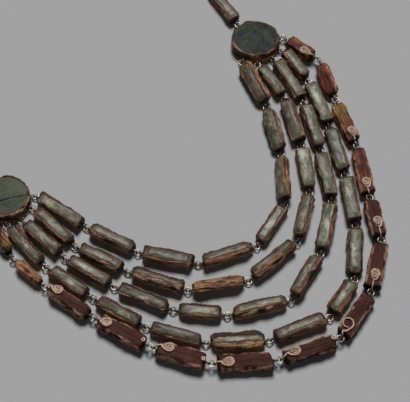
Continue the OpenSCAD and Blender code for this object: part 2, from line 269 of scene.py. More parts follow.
def bars_of(name, turn, gap_after=None):
    """Bars of a strand in order. The clasp takes the place of a bar after the ring gap_after."""
    glasses = in_order(solids(name + "_glass"), turn)
    bodies = in_order(solids(name + "_bars"), turn)
    rings = [middle(r) for r in in_order(solids(name + "_rings"), turn)]
    spans = [(rings[i], rings[i + 1]) for i in range(len(rings) - 1) if i != gap_after]
    return [Bar(g, b, p, q, i) for i, (g, b, (p, q)) in enumerate(zip(glasses, bodies, spans))]


# Noise, grids of points and joined meshes

NOISE_CELLS = 64
# Step between the textures of neighbouring seeds
SEED_SHIFT = 0.37


def noise(x, y, seed):
    """Smooth noise from -1 to 1 over a plane, with a cell of 1."""
    table = np.random.default_rng(seed).uniform(-1, 1, (NOISE_CELLS, NOISE_CELLS))
    xi, yi = np.floor(x).astype(int), np.floor(y).astype(int)
    fx, fy = x - xi, y - yi
    fx, fy = fx * fx * (3 - 2 * fx), fy * fy * (3 - 2 * fy)

    def at(i, j):
        return table[(xi + i) % NOISE_CELLS, (yi + j) % NOISE_CELLS]
    return (at(0, 0) * (1 - fx) + at(1, 0) * fx) * (1 - fy) + (at(0, 1) * (1 - fx) + at(1, 1) * fx) * fy


def smooth(x, low, high):
    """Rise from 0 at low to 1 at high, level at both."""
    t = np.clip((x - low) / (high - low), 0, 1)
    return t * t * (3 - 2 * t)


def stacked(*parts):
    """Points or values from their three parts, each an array or one number."""
    return np.stack(np.broadcast_arrays(*parts), -1)


def polar(centre, reach, angle, height):
    """Points at distances and angles about a centre."""
    return stacked(centre[0] + reach * np.cos(angle), centre[1] + reach * np.sin(angle), height)


def even_turns(count):
    """Angles of even steps round a circle."""
    return np.arange(count) * 2 * math.pi / count


class Skins:
    """Grids of points joined into one mesh, with values on their points for the materials."""

    def __init__(self):
        self.points, self.faces, self.count = [], [], 0
        self.values = {"place": [], "look": [], "tint": []}

    def add(self, points, place=(0, 0, 0), look=(0, 0, 0), tint=(0, 0, 0), wrap=True, caps=True):
        """Adds a grid of rings, closed round its second side if wrap, with flat ends if caps."""
        rows, columns = points.shape[:2]
        index = np.arange(rows * columns).reshape(rows, columns) + self.count
        beside = np.roll(index, -1, 1) if wrap else index[:, 1:]
        inside = index if wrap else index[:, :-1]
        quads = np.stack([inside[:-1], beside[:-1], beside[1:], inside[1:]], -1).reshape(-1, 4)
        self.faces.extend(quads.tolist())
        if caps:
            self.faces.append(index[0, ::-1].tolist())
            self.faces.append(index[-1].tolist())
        flat = points.reshape(-1, 3)
        self.points.append(flat)
        self.count += len(flat)
        for key, given in (("place", place), ("look", look), ("tint", tint)):
            self.values[key].append(np.broadcast_to(given, points.shape).reshape(-1, 3))


def new_object(name, data):
    made = bpy.data.objects.new(name, data)
    bpy.context.scene.collection.objects.link(made)
    return made


def make_piece(name, skins, material, slot, *nodes):
    """Turns joined skins into a piece that stands for CAD nodes."""
    points = np.concatenate(skins.points)
    points[:, 2] = np.clip(points[:, 2], REST, cad_box[1][2] / MM + TOP_MARGIN)
    mesh = bpy.data.meshes.new(name)
    mesh.from_pydata((points * MM).tolist(), [], skins.faces)
    for key, parts in skins.values.items():
        attribute = mesh.attributes.new(key, "FLOAT_VECTOR", "POINT")
        attribute.data.foreach_set("vector", np.concatenate(parts).astype(np.float32).ravel())
    mesh.shade_smooth()
    mesh.materials.append(material)
    piece = new_object(name, mesh)
    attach(piece, "root")
    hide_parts(*nodes)


# Bars

# Steps of each stretch of half a cross-section, from the middle of the back to the trough
STEPS = (6, 2, 4, 4, 3, 2, 2, 2)
# How far each stretch is worked and stained, from 0 to 1
WORKED = (0.35, 0.8, 1, 1, 0.9, 0.5, 0.2, 0)
STAINED = (0, 0.1, 0, 0, 0, 0.1, 0.7, 1)
# How far each stretch belongs to the flat back, to its edges and to the lips round the glass
FLAT = (1, 0.6, 0, 0, 0, 0, 0, 0)
BACK_EDGE = (0, 0.6, 1, 0.7, 0.3, 0, 0, 0)
LIP = (0, 0, 0, 0, 0.5, 1, 1, 1)
BODY_ROWS = 84
# Crowding towards the ends: rows of a bar, rows and columns of its glass
BODY_CROWDING, GLASS_CROWDING, COLUMN_CROWDING = 0.94, 0.9, 0.85
# Shares of a bar's last section that close its end
CLOSING = np.array([0.05, 0.5, 0.85])

# Corners of half a cross-section from its back up: shares of its half width and thickness
CORNERS = [(0.76, 0.0), (0.95, 0.18), (1.0, 0.5), (0.93, 0.8)]
LIP_ROUND, WALL_LEAN = 0.12, 0.15
# Trough: depth above the glass, distance of its ends from the bar's, half the length of their slope
TROUGH_SHOWN, TROUGH_END, TROUGH_SLOPE = 0.9, 0.65, 0.15
# Lip: width, what a millimetre of cover adds to its width and height, largest share of half the bar
LIP_WIDTH, LIP_WIDENED, LIP_RAISED, LIP_MOST = 0.3, 0.4, 0.25, 0.92
# Opening: what it adds to the glass, least half width, largest share of half the bar
OPENING_WIDER, OPENING_LEAST, OPENING_MOST = 0.05, 0.15, 0.85
# Waves of the lips: height, waves per millimetre, seed
LIP_WAVES = [(0.26, 0.45, 7), (0.22, 1.2, 27)]
# Sides: column in LOOKS, what is taken off their cover on all bars and on bars that aren't shaded
SIDES = [(INNER, 0.05, 0.4), (OUTER, 0.15, 0.25)]

# Taper of 1: what it takes off a bar and off its glass, and its length. How far past an end rounding starts.
TAPER_DEPTH, GLASS_TAPER, TAPER_LENGTH, ROUND_START = 0.45, 0.4, 4.5, 0.2

# Marks of the resin: waves per millimetre round and along the bar, start and seed of their noise, whether
# they bend with the grain, height, share of the tone. That tone is partly the resin's own colour and partly
# painted highlight on raised marks and painted shade in cracks.
WAVES, LONG_WAVES, START, SEED, BENDS, HEIGHT, TONE = range(7)
MARKS = {
    "ridges": (1.05, 0.15, 5, 1, 1, 0.2, 0.38),
    "fine": (2.8, 0.25, 0, 2, 1, 0.13, 0.24),
    "lumps": (0.35, 0.28, 0, 3, 0, 0.27, 0.2),
    "grit": (2.2, 1.7, 0, 4, 0, 0.15, 0),
    "cracks": (0.8, 0.14, 11, 8, 1, -0.22, -0.4),
}
RIDGE_SHARPNESS, CRACK_SHARPNESS = 2.6, 5
# Share of the relief on a flat back: without rust, what rust adds, and its most
BACK_RELIEF, BACK_RUSTED, BACK_MOST = 0.2, 0.2, 0.45
RAGGED, SLANT, END_BULGE, END_LENGTH, BEND = 0.42, 0.5, 0.25, 3, 0.2

# Painted shade that darkens a shaded bar's side towards the neck, painted light that lightens its other
# side, and painted shade that darkens other bars
INNER_SHADE, OUTER_LIGHT, OPEN_SHADE = 0.45, 0.3, 0.12
# Painted light that a millimetre of cover adds to a side, up to which cover, and what lightens a closed bar
COVER_LIGHT, COVER_MOST, CLOSED_LIGHT = 0.24, 1.2, 0.3
# Stain of the smears on the lips, and painted shade on the lip towards the neck of a shaded bar
SMEAR_STAIN, LIP_PAINTED_SHADE = 0.8, 0.9
# Share of its rust that a bar shows, what a shaded bar adds to it, and the ochre of a shaded bar
OPEN_RUST, SHADED_RUST, SHADED_OCHRE = 0.6, 0.45, 0.2


def half_outline(h, crest, lip_in, lip_out, depth):
    """Corners of half a cross-section as [across, up], one row per station."""
    zero = np.zeros_like(h)
    floor = THICKNESS - depth
    return np.stack([
        [zero, zero],
        *[[across * h, zero + up * THICKNESS] for across, up in CORNERS],
        [lip_out, crest],
        [lip_in, crest - LIP_ROUND * np.minimum(depth, 1)],
        [lip_in - WALL_LEAN, floor],
        [zero, floor],
    ]).transpose(2, 0, 1)


def sampled(corners):
    """Points along a chain of corners, with STEPS points to each stretch."""
    parts = []
    for i, n in enumerate(STEPS):
        t = (np.arange(n) / n)[None, :, None]
        parts.append(corners[:, i, None] * (1 - t) + corners[:, i + 1, None] * t)
    return np.concatenate(parts + [corners[:, -1, None]], 1)


def eased(count, crowding):
    """Numbers from -1 to 1 that lie closer together towards both ends."""
    return np.sin(np.linspace(-1, 1, count) * math.pi / 2 * crowding) / math.sin(math.pi / 2 * crowding)


def section_share(half, s, taper):
    """Share of the full cross-section at distances along a bar."""
    more = np.where(s < 0, *taper)
    narrowing = 1 - END_SHARE + TAPER_DEPTH * more
    rounding = 1 - smooth(half - np.abs(s), -ROUND_START, SHOULDER + TAPER_LENGTH * more)
    return 1 - narrowing * rounding ** 2


def widths(bar, s, seed, look):
    """Half the bar's width, and how far its opening reaches towards and away from the neck."""
    h = bar.half_width(s) * (1 + 0.07 * noise(s * 0.3, s * 0, seed))
    lips = []
    for k, (side, less, less_open) in enumerate(SIDES):
        cover = look[side] - less - less_open * (1 - bar.shaded)
        wobble = sum(size * noise(s * rate, s * 0, seed + start + k) for size, rate, start in LIP_WAVES)
        lip = bar.glass_half + OPENING_WIDER - cover + wobble * (1 + 0.5 * max(cover, 0))
        lips.append(np.clip(lip, OPENING_LEAST, OPENING_MOST * h))
    return h, lips


def is_closed(look):
    return min(look[INNER], look[OUTER]) > CLOSED


def around(values):
    """A value per stretch, given to every point round the outline."""
    half = np.repeat(values, STEPS)
    return np.concatenate([half, values[-1:], half[:0:-1]])


def bar_stations(bar, taper):
    """Distances along a bar, and the share of its full section at each, closed at both ends."""
    s = eased(BODY_ROWS, BODY_CROWDING) * bar.half
    share = section_share(bar.half, s, taper)
    s = np.concatenate([[-bar.half] * len(CLOSING), s, [bar.half] * len(CLOSING)])
    return s, np.concatenate([CLOSING * share[0], share, CLOSING[::-1] * share[-1]])


def bar_outline(bar, s, seed, look):
    """Outline of a bar's section at each distance along it, before any relief."""
    h, lips = widths(bar, s, seed, look)
    within = smooth(bar.half - TROUGH_END - np.abs(s), -TROUGH_SLOPE, TROUGH_SLOPE)
    depth = TROUGH_SHOWN * within * (not is_closed(look)) + 0.001
    sides = []
    for sign, lip, cover in zip((1, -1), lips, (look[INNER], look[OUTER])):
        cover = cover * (not is_closed(look))
        lip_out = np.minimum(lip + LIP_WIDTH + LIP_WIDENED * cover, LIP_MOST * h)
        crest = np.full_like(h, THICKNESS + LIP_RAISED * cover)
        half = sampled(half_outline(h, crest, lip, lip_out, depth))
        half[..., 0] *= sign
        sides.append(half)
    outline = np.concatenate([sides[0][:, :-1], sides[1][:, :0:-1]], 1)
    for _ in range(2):
        outline = (np.roll(outline, 1, 1) + 2 * outline + np.roll(outline, -1, 1)) / 4
    return outline


def bar_marks(along, v, seed):
    """Each kind of mark at each point of a bar's skin, from -1 to 1 or, for the cracks, from 0."""
    grain = 0.5 * noise(along * 0.3, v * 0.6, seed + 9)
    marks = {}
    for name, mark in MARKS.items():
        marks[name] = noise(v * mark[WAVES] + grain * mark[BENDS], along * mark[LONG_WAVES] + mark[START],
                            seed + mark[SEED])
    marks["ridges"] = np.maximum(1 - RIDGE_SHARPNESS * np.abs(marks["ridges"]), -1)
    cracked = smooth(noise(along * 0.22, v * 0.5, seed + 18), -0.35, 0.25)
    marks["cracks"] = np.maximum(1 - CRACK_SHARPNESS * np.abs(marks["cracks"]), 0) * cracked
    return marks


def bar_looks(bar, look, marks, along, v, seed, back_up, rough, calm):
    """Values of a bar's skin for its resin: height, stain and rust, and ochre, flatness and edges.

    Height also carries the painted light and shade of the bar's sides, and stain the painted shade on a lip.
    """
    closed = is_closed(look)
    tones = {name: mark * MARKS[name][TONE] for name, mark in marks.items()}
    towards_neck = np.arange(v.shape[1]) < sum(STEPS)
    # Painted light and shade of the sides, added to the height: darker towards the neck and lighter on the
    # other side of a shaded bar, darker on other bars, lighter where the resin covers more glass
    facing = np.where(towards_neck, -INNER_SHADE, OUTER_LIGHT) * bar.shaded - OPEN_SHADE * (1 - bar.shaded)
    covered = np.clip(np.where(towards_neck, look[INNER], look[OUTER]), 0, COVER_MOST)
    facing = (facing + COVER_LIGHT * covered * (1 - bar.shaded)) * (not back_up)
    height = 0.5 + facing + (tones["ridges"] + tones["cracks"]) * calm + tones["fine"] + tones["lumps"]
    height = np.clip(height + CLOSED_LIGHT * closed, 0, 1)
    # Both ends darken towards brown over their last 1.3 millimetres
    ends = smooth(np.abs(along), bar.half - 1.3, bar.half - 0.1)
    smears = SMEAR_STAIN * around(LIP) * smooth(noise(along * 0.35, v * 0.3, seed + 15), -0.1, 0.5)
    # Painted shade on the lip towards the neck of a shaded bar
    shaded_lip = LIP_PAINTED_SHADE * around(LIP) * towards_neck * bar.shaded * (not back_up)
    stain_and_shade = np.maximum(np.maximum(shaded_lip, around(STAINED)), smears) * (not closed)
    rust = look[RUST] * (1 if back_up else OPEN_RUST + SHADED_RUST * bar.shaded)
    ochre = abs(look[OCHRE]) * smooth(along / bar.half * np.sign(look[OCHRE]), -0.6, 0.7)
    ochre = ochre + SHADED_OCHRE * bar.shaded * (not back_up)
    flat = around(FLAT) * back_up * (1.1 - rough)
    edges = around(BACK_EDGE) * smooth(noise(along * 0.6, v * 0.8, seed + 16), -0.6, 0.3) * (1 - ends)
    return stacked(height, np.maximum(ends, stain_and_shade), rust), stacked(ochre, flat, edges * back_up)


def bar_body(skins, bar, seed, look, taper, back_up):
    """Slip of rough resin with ragged ends and uneven lips over its glass."""
    s, share = bar_stations(bar, taper)
    outline = bar_outline(bar, s, seed, look)
    centre = np.array([0, THICKNESS * 0.48])
    reach = outline - centre
    outward = reach / np.maximum(np.linalg.norm(reach, axis=2, keepdims=True), 1e-6)
    steps = np.linalg.norm(np.diff(outline[len(s) // 2], axis=0), axis=1)
    v = np.broadcast_to(np.concatenate([[0], np.cumsum(steps)]), outline.shape[:2])
    along = np.broadcast_to(s[:, None], outline.shape[:2])
    marks = bar_marks(along, v, seed)
    rough = np.clip(BACK_RELIEF + BACK_RUSTED * look[RUST], 0, BACK_MOST)
    calm = np.where((around(WORKED) < 0.5) & back_up, rough, 1.0)
    relief = sum(mark * MARKS[name][HEIGHT] for name, mark in marks.items()) * around(WORKED) * calm
    section = centre + (reach + outward * relief[..., None]) * share[:, None, None]
    near_end = smooth(np.abs(along), bar.half - END_LENGTH, bar.half)
    slants = np.random.default_rng(seed).uniform(-SLANT, SLANT, 2)
    slant = np.where(along > 0, *slants) * section[..., 0] / bar.half_widths.max()
    ragged = (RAGGED * noise(v * 0.6, along * 0 + np.sign(along), seed + 5) + slant) * near_end
    bulge = END_BULGE * smooth(share, 0.9, 0.1)[:, None] * np.sign(along)
    bend = BEND * noise(s * 0.09, s * 0, seed + 6)
    points = stacked(along + ragged + bulge, section[..., 0] + bend[:, None], section[..., 1])
    place = stacked(along + ragged + bulge * 4, v, seed * SEED_SHIFT)
    skins.add(bar.world(points), place, *bar_looks(bar, look, marks, along, v, seed, back_up, rough, calm))


# Glass: points along and across a bar, distance of its ends and top from the bar's, height of its dome, how
# far it sinks under a lip and in a closed bar, thickness
GLASS_ROWS, GLASS_COLUMNS = 48, 21
GLASS_END, GLASS_LOW, GLASS_RISE = 0.6, 0.28, 0.5
GLASS_SUNK, CLOSED_SUNK, GLASS_THICK = 0.55, 1.3, 0.7
# How far it runs under the lips, and its largest share of half the bar
GLASS_UNDER, GLASS_MOST = 0.5, 0.88
# What its brown stain gains from a shaded bar's side towards the neck, where it is painted shade, and from
# the other side, and what it loses on other bars
PAINTED_SHADE_INNER, STAIN_OUTER, STAIN_OPEN = 0.58, 0.28, 0.35
# Its light, partly its own tone and partly painted reflection: even, in patches and in its brightest patch,
# a painted highlight. Length and width of that patch as shares of half the bar's, and the painted shade
# that darkens the side towards the neck of a shaded bar.
LIGHT_EVEN, LIGHT_PATCHES, LIGHT_SPOT = 0.55, 0.5, 0.95
SPOT_LENGTH, SPOT_WIDTH, GLASS_SHADE = 0.28, 0.7, 0.8


def bar_glass(skins, bar, seed, look, taper):
    """Domed slip whose edges run under the lips of the resin."""
    end = bar.half - GLASS_END
    s = eased(GLASS_ROWS, GLASS_CROWDING) * end
    x = eased(GLASS_COLUMNS, COLUMN_CROWDING)
    inner, outer = widths(bar, s, seed, look)[1]
    share = section_share(bar.half, s, taper)
    s, x = np.meshgrid(s, x, indexing="ij")
    more = np.where(s < 0, *taper)
    narrowing = 1 - GLASS_TAPER * more * (1 - smooth(end - np.abs(s), 0, TAPER_LENGTH * more + 0.1)) ** 2
    wide = min(bar.glass_half + GLASS_UNDER, bar.half_widths.min() * GLASS_MOST) * narrowing
    dome = (1 - np.abs(x) ** 2.4) * (0.2 + 0.8 * smooth(end - np.abs(s), 0, 2.2))
    wave = 0.16 * noise(s * 0.22, x * 0.9, seed + 11) + 0.1 * noise(s * 0.6, x * 1.7, seed + 12)
    z = (THICKNESS - GLASS_LOW + GLASS_RISE * dome + wave * dome) * (0.5 + 0.5 * narrowing)
    beyond = np.abs(x * wide) - np.where(x > 0, inner[:, None], outer[:, None]) * share[:, None]
    z = z - GLASS_SUNK * smooth(beyond, 0.0, 0.5) - CLOSED_SUNK * is_closed(look)
    points = stacked(s, x * wide, z)
    # The brown stain is widened on a shaded bar's side towards the neck as painted shade, widened on its
    # other side, and narrowed on other bars
    edge_stain_and_shade = PAINTED_SHADE_INNER * smooth(x, 0.1, 0.9) + STAIN_OUTER * smooth(-x, 0.1, 0.9)
    inset = np.minimum(-beyond, end - 0.1 - np.abs(s)) - bar.shaded * edge_stain_and_shade + STAIN_OPEN * (1 - bar.shaded)
    place = stacked(s, x * wide, seed * SEED_SHIFT)
    # Light of the glass, partly painted reflection in patches and a painted highlight, darkened by painted
    # shade on a shaded bar's side towards the neck
    patches = 0.5 + 0.5 * noise(s * 0.16 + 3, x * 0.8, seed + 13)
    painted_highlight = np.exp(-((s / bar.half - look[SPOT]) / SPOT_LENGTH) ** 2 - ((x - 0.1) / SPOT_WIDTH) ** 2)
    light = look[LIGHT] * (LIGHT_EVEN + LIGHT_PATCHES * patches + LIGHT_SPOT * painted_highlight)
    light = light - GLASS_SHADE * bar.shaded * smooth(x, -0.15, 0.85)
    skins.add(bar.world(points), place, stacked(inset, light, look[WARMTH]), wrap=False, caps=False)
    rim = np.concatenate([points[0, :-1], points[:-1, -1], points[-1, :0:-1], points[:0:-1, 0]])
    skins.add(bar.world(np.stack([rim, rim - (0, 0, GLASS_THICK)])), look=(-0.5, look[LIGHT], 0), caps=False)


# Wire

WIRE_SIDES = 8
HALF_CUT = math.radians(5)
# Swelling of an eye's wire along its stalk, and the stalk's reach into the loop and the bar
STALK_SWELL = np.array([1.25, 1.1, 1.3, 1.1, 1.3, 1.1])
STALK_OVERLAP, STALK_IN_BAR = 0.1, 0.6


def tube(skins, path, radius, closed=False):
    """Round wire along a path of points, with one radius or a radius for each point."""
    path = np.asarray(path, float)
    if closed:
        before, after = np.roll(path, 1, 0), np.roll(path, -1, 0)
    else:
        before = np.concatenate([path[:1] * 2 - path[1:2], path[:-1]])
        after = np.concatenate([path[1:], path[-1:] * 2 - path[-2:-1]])
    tangents = after - before
    tangents /= np.linalg.norm(tangents, axis=1, keepdims=True)
    normal = np.cross(tangents[0], UP if abs(tangents[0][2]) < 0.9 else (1.0, 0.0, 0.0))
    turns = even_turns(WIRE_SIDES)
    rings = []
    for point, direction, r in zip(path, tangents, np.broadcast_to(radius, len(path))):
        normal = unit(normal - direction * (normal @ direction))
        other = np.cross(direction, normal)
        rings.append(point + r * (np.cos(turns)[:, None] * normal + np.sin(turns)[:, None] * other))
    rings = np.array(rings)
    if closed:
        rings = np.concatenate([rings, rings[:1]])
    skins.add(rings, rings, caps=not closed)


def arc(centre, a, b, radius, start, end, count):
    t = np.linspace(start, end, count)
    return centre + radius * (np.cos(t)[:, None] * a + np.sin(t)[:, None] * b)


def loop(skins, centre, a, b, radius, wire_radius, count=26):
    """Closed round loop of wire."""
    tube(skins, arc(centre, a, b, radius, 0, 2 * math.pi, count + 1)[:-1], wire_radius, closed=True)


def ring(skins, points, seed):
    """Jump ring with the small cut where it was closed."""
    centre = points.mean(0)
    a, b = np.linalg.svd(points - centre, full_matrices=False)[2][:2]
    turn = np.random.default_rng(seed).uniform(0, 2 * math.pi)
    start, end = turn + HALF_CUT, turn + 2 * math.pi - HALF_CUT
    tube(skins, arc(centre, a, b, RING_RADIUS, start, end, 34), WIRE_RADIUS)


def eye(skins, at, direction, stalk):
    """Upright loop at a point, with its ends wound into a stalk against the direction."""
    loop(skins, at, -direction, UP, EYE_RADIUS, WIRE_RADIUS)
    start = at - direction * (EYE_RADIUS - STALK_OVERLAP)
    path = start - direction * np.linspace(0, stalk, len(STALK_SWELL))[:, None]
    tube(skins, path, WIRE_RADIUS * STALK_SWELL)


def bar_eyes(skins, bar):
    span = np.linalg.norm((bar.q - bar.p)[:2])
    stalk = span / 2 - RING_RADIUS - EYE_RADIUS - bar.half + STALK_IN_BAR
    eye(skins, bar.p + bar.along * RING_RADIUS, -bar.along, stalk)
    eye(skins, bar.q - bar.along * RING_RADIUS, bar.along, stalk)


# Materials

class Nodes:
    """Short ways to add shader nodes to a tree."""

    def __init__(self, tree):
        self.tree = tree

    def fill(self, node, inputs):
        """Links the inputs that are given a socket and sets those that are given a value."""
        for key, value in inputs.items():
            if isinstance(value, bpy.types.NodeSocket):
                self.tree.links.new(value, node.inputs[key])
            else:
                node.inputs[key].default_value = value

    def node(self, kind, inputs=(), **settings):
        made = self.tree.nodes.new(kind)
        for key, value in settings.items():
            setattr(made, key, value)
        self.fill(made, dict(inputs))
        return made

    def attribute(self, name):
        return self.node("ShaderNodeAttribute", attribute_name=name).outputs["Vector"]

    def values(self, name):
        """The three values of an attribute."""
        return self.node("ShaderNodeSeparateXYZ", {0: self.attribute(name)}).outputs[:3]

    def noise(self, vector, scale, detail, roughness=0.6, distortion=0.0):
        made = self.node("ShaderNodeTexNoise", {
            "Vector": vector, "Scale": scale, "Detail": detail, "Roughness": roughness,
            "Distortion": distortion})
        return made.outputs[0]

    def grain(self, place, waves, detail, roughness, distortion=0.0):
        """Noise with its own number of waves per millimetre along, round and through a surface."""
        scaled = self.node("ShaderNodeVectorMath", {0: place, 1: waves}, operation="MULTIPLY").outputs[0]
        return self.noise(scaled, 1.0, detail, roughness, distortion)

    def ramp(self, factor, stops):
        made = self.node("ShaderNodeValToRGB", {0: factor})
        elements = made.color_ramp.elements
        while len(elements) < len(stops):
            elements.new(0.5)
        for element, (position, colour) in zip(elements, stops):
            element.position = position
            element.color = (*colour, 1)
        return made.outputs[0]

    def math(self, operation, a, b=0.0, c=0.0, clamp=False):
        made = self.node("ShaderNodeMath", {0: a, 1: b, 2: c}, operation=operation, use_clamp=clamp)
        return made.outputs[0]

    def total(self, start, *parts, clamp=False):
        """The start and each field times its weight, added up, and kept from 0 to 1 if clamp."""
        for i, (field, weight) in enumerate(parts):
            start = self.math("MULTIPLY_ADD", field, weight, start, clamp and i == len(parts) - 1)
        return start

    def times(self, a, b):
        return self.math("MULTIPLY", a, b)

    def mix(self, factor, a, b, blend="MIX"):
        """Mixes two colours, which are the node's inputs 6 and 7 and give its output 2."""
        a, b = (c if isinstance(c, bpy.types.NodeSocket) else (*c, 1) for c in (a, b))
        made = self.node("ShaderNodeMix", {0: factor, 6: a, 7: b}, data_type="RGBA", blend_type=blend)
        return made.outputs[2]

    def bump(self, height, strength, distance):
        made = self.node("ShaderNodeBump", {"Height": height, "Strength": strength, "Distance": distance})
        return made.outputs[0]


def new_material(name):
    material = bpy.data.materials.new(name)
    material.use_nodes = True
    n = Nodes(material.node_tree)
    return material, n, n.tree.nodes["Principled BSDF"]


def linear(r, g, b):
    """Colour as sRGB bytes turned into linear shares."""
    def one(c):
        c = c / 255
        return c / 12.92 if c <= 0.04045 else ((c + 0.055) / 1.055) ** 2.4
    return one(r), one(g), one(b)


RUSTY_PALE = linear(212, 154, 116)
OCHRE_PALE = linear(208, 172, 116)
WARM_GLASS = linear(116, 100, 62)
COOL_GLASS = linear(80, 92, 100)
BEHIND_COIL = linear(96, 62, 48)
# Tone that an even back tends to, from 0 to 1
EVEN_TONE = 0.4
# Steps of tone at which the shades of the glass lie
GLASS_STEPS = (0.02, 0.26, 0.5, 0.74, 0.98)


def resin_material(name, shades, rust, golden, gloss, even):
    """Rough resin with lengthwise streaks, in four shades from dark to pale.

    even is how much calmer its flat back is, from 0 to 1.
    """
    material, n, shader = new_material(name)
    dark, deep, fair, pale, rust, golden = (linear(*colour) for colour in (*shades, rust, golden))
    place = n.attribute("place")
    height, stain_and_shade, warm = n.values("look")
    yellow, flat, edges = n.values("tint")
    streaks = n.grain(place, (0.1, 1.5, 1.0), 6, 0.7, 0.5)
    hairs = n.grain(place, (0.3, 2.8, 1.0), 3, 0.6, 0.3)
    patches = n.grain(place, (0.2, 0.45, 1.7), 4, 0.6, 0.4)
    grit = n.grain(place, (1.2, 2.0, 1.0), 5, 0.75)
    # The height brings in the tone of the relief and the painted light and shade of a bar's sides
    tone = n.total(-1.53, (streaks, 1.7), (hairs, 0.9), (height, 0.8), (patches, 0.5))
    calm = n.total(1.0, (flat, -even))
    tone = n.math("MULTIPLY_ADD", n.math("SUBTRACT", tone, EVEN_TONE), calm, EVEN_TONE)
    tone = n.total(tone, (edges, even * 0.7))
    colour = n.ramp(tone, [(0.14, dark), (0.34, deep), (0.58, fair), (0.86, pale)])
    # Rust and ochre spread in patches, the more of them the higher the bar's values
    rusty = n.ramp(tone, [(0.1, dark), (0.45, rust), (0.86, RUSTY_PALE)])
    warm = n.total(warm, (n.math("SUBTRACT", 1.0, flat), even * 0.4))
    spread = n.total(1.5 * even - 3.4, (warm, 1.9), (patches, 4.5 - 3.0 * even), clamp=True)
    colour = n.mix(n.times(spread, 0.85), colour, rusty)
    ochre = n.ramp(tone, [(0.1, dark), (0.42, golden), (0.86, OCHRE_PALE)])
    spread = n.total(0.6, (yellow, 2.4), (patches, -3.0), clamp=True)
    colour = n.mix(n.times(spread, 0.8), colour, ochre)
    speckle = n.ramp(grit, [(0.36, (0.25, 0.22, 0.2)), (0.5, (0.9, 0.88, 0.86)), (0.66, (1.3, 1.28, 1.26))])
    colour = n.mix(0.9, colour, speckle, "MULTIPLY")
    # Stains and painted shade darken the colour towards brown, broken up by the grit
    stain_and_shade_share = n.total(0.2, (stain_and_shade, 1.3), (grit, -0.9), clamp=True)
    brown = [0.85 * a + 0.12 * b for a, b in zip(dark, deep)]
    colour = n.mix(n.times(n.times(stain_and_shade_share, stain_and_shade), 0.9), colour, brown)
    rough = n.total(0.0, (streaks, 0.8), (grit, 0.4), (hairs, 0.35))
    n.fill(shader, {
        "Base Color": colour, "Roughness": n.total(0.2, (grit, 0.5)), "Specular IOR Level": gloss,
        "Normal": n.bump(rough, 1.0 - 0.7 * even, 0.7 * MM)})
    return material


def glass_material(name, shades, coat, specular):
    """Clouded mirror glass with stained edges and a soft silvering.

    Its light is partly painted reflection and highlight, and its stain partly painted shade.
    """
    material, n, shader = new_material(name)
    place = n.attribute("place")
    inset, light, warmth = n.values("look")
    clouds = n.grain(place, (0.25, 0.5, 1.0), 4, 0.6, 0.8)
    wisps = n.grain(place, (0.9, 1.3, 1.0), 6, 0.7, 1.0)
    lines = n.grain(place, (0.25, 1.8, 1.0), 4, 0.65, 0.6)
    tone = n.total(-1.2, (clouds, 1.5), (wisps, 0.9), (lines, 0.5), (light, 0.62))
    colour = n.ramp(tone, [(step, linear(*shade)) for step, shade in zip(GLASS_STEPS, shades)])
    warm = n.math("MAXIMUM", warmth, 0.0)
    cool = n.math("MAXIMUM", n.times(warmth, -1.0), 0.0)
    colour = n.mix(n.times(warm, 0.5), colour, WARM_GLASS)
    colour = n.mix(n.times(cool, 0.5), colour, COOL_GLASS)
    specks = n.grain(place, (2.2, 2.8, 1.0), 4, 0.7)
    dust = n.ramp(specks, [(0.35, (0.78, 0.76, 0.73)), (0.65, (1.12, 1.12, 1.11))])
    colour = n.mix(1.0, colour, dust, "MULTIPLY")
    # Brown stain that creeps in from the edges, wider as painted shade on a shaded bar's side towards the
    # neck, and a dark line right beside them
    ragged = n.total(-1.15, (inset, 1.0), (clouds, 1.0), (wisps, 1.3))
    brown = n.ramp(lines, [
        (0.35, linear(60, 42, 30)), (0.5, linear(98, 70, 48)), (0.68, linear(142, 102, 64))])
    stain_and_shade = n.ramp(ragged, [(0.1, (1, 1, 1)), (0.38, (0.5, 0.5, 0.5)), (0.9, (0, 0, 0))])
    colour = n.mix(n.times(stain_and_shade, 0.9), colour, brown)
    near = n.total(-0.17, (inset, 1.0), (wisps, 0.35))
    line = n.ramp(near, [(0.0, (0.45, 0.38, 0.32)), (0.24, (1, 1, 1))])
    there = n.total(-0.6, (clouds, 2.4), clamp=True)
    colour = n.mix(there, colour, n.mix(1.0, colour, line, "MULTIPLY"))
    waves = n.total(clouds, (wisps, 0.4), (lines, 0.3))
    n.fill(shader, {
        "Base Color": colour, "Roughness": n.total(0.25, (wisps, 0.35)), "Specular IOR Level": specular,
        "Coat Weight": coat, "Coat Roughness": 0.28, "Normal": n.bump(waves, 0.6, 0.8 * MM)})
    return material


def wire_material(name, bright, tarnish, roughness, metallic):
    """Wire that is tarnished in patches, and dark where it is the plate behind a coil."""
    material, n, shader = new_material(name)
    place = n.attribute("place")
    patches = n.noise(place, 0.9, 4)
    colour = n.ramp(patches, [(0.4, tarnish), (0.6, bright)])
    behind = n.values("look")[0]
    colour = n.mix(behind, colour, BEHIND_COIL)
    n.fill(shader, {
        "Base Color": colour, "Metallic": metallic,
        "Roughness": n.total(roughness + 0.15, (patches, -0.25)),
        "Normal": n.bump(n.noise(place, 3.0, 3), 0.3, 0.1 * MM)})
    return material


def floor_material():
    """Plain pale paper with a faint fibre."""
    material, n, shader = new_material("paper_floor")
    position = n.node("ShaderNodeNewGeometry").outputs["Position"]
    fibre = n.noise(position, 900, 3)
    colour = n.ramp(fibre, [(0.3, linear(186, 186, 187)), (0.7, linear(189, 189, 190))])
    n.fill(shader, {"Base Color": colour, "Roughness": 0.9, "Specular IOR Level": 0.1})
    return material


